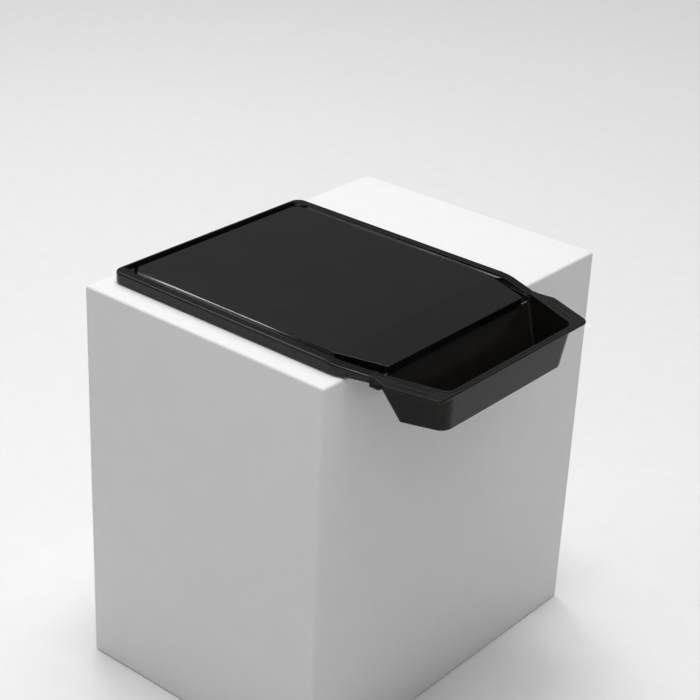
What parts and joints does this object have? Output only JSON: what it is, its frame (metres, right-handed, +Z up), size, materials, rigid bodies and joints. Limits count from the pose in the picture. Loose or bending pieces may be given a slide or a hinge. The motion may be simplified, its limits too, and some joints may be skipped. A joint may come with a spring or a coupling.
{
  "type": "cutting board with catch tray",
  "caption": "Black cutting board in a rimmed frame that stands on a worktop, with a deep catch tray that hangs past the edge and pulls off lengthwise.",
  "frame": {"origin": "on the worktop, under the middle of the frame: the plane of the feet's undersides", "axes": "+X along the board towards the catch tray, +Y across the board, +Z up"},
  "size_m": [0.4333, 0.304, 0.0565],
  "materials": {
    "frame_plastic": "satin black",
    "plate_plastic": "satin black, finely textured",
    "tray_plastic": "satin black",
    "screw_steel": "plain steel",
    "foot_rubber": "matt black"
  },
  "bodies": {
    "frame": {"base_frame": "frame_plastic", "channel_cover_back": "frame_plastic", "channel_cover_front": "frame_plastic", "screw_back_inner": "screw_steel", "screw_back_outer": "screw_steel", "screw_front_inner": "screw_steel", "screw_front_outer": "screw_steel", "foot_closed_back": "foot_rubber", "foot_closed_front": "foot_rubber", "foot_tray_back": "foot_rubber", "foot_tray_front": "foot_rubber"},
    "plate": {"cutting_plate": "plate_plastic"},
    "tray": {"catch_tray": "tray_plastic"}
  },
  "joints": [
    {"name": "plate_lift", "type": "slide", "parent": "frame", "child": "plate", "axis": [0, 0, 1], "range_m": [0, 0.03]},
    {"name": "tray_slide", "type": "slide", "parent": "frame", "child": "tray", "axis": [1, 0, 0], "range_m": [0, 0.06]}
  ]
}
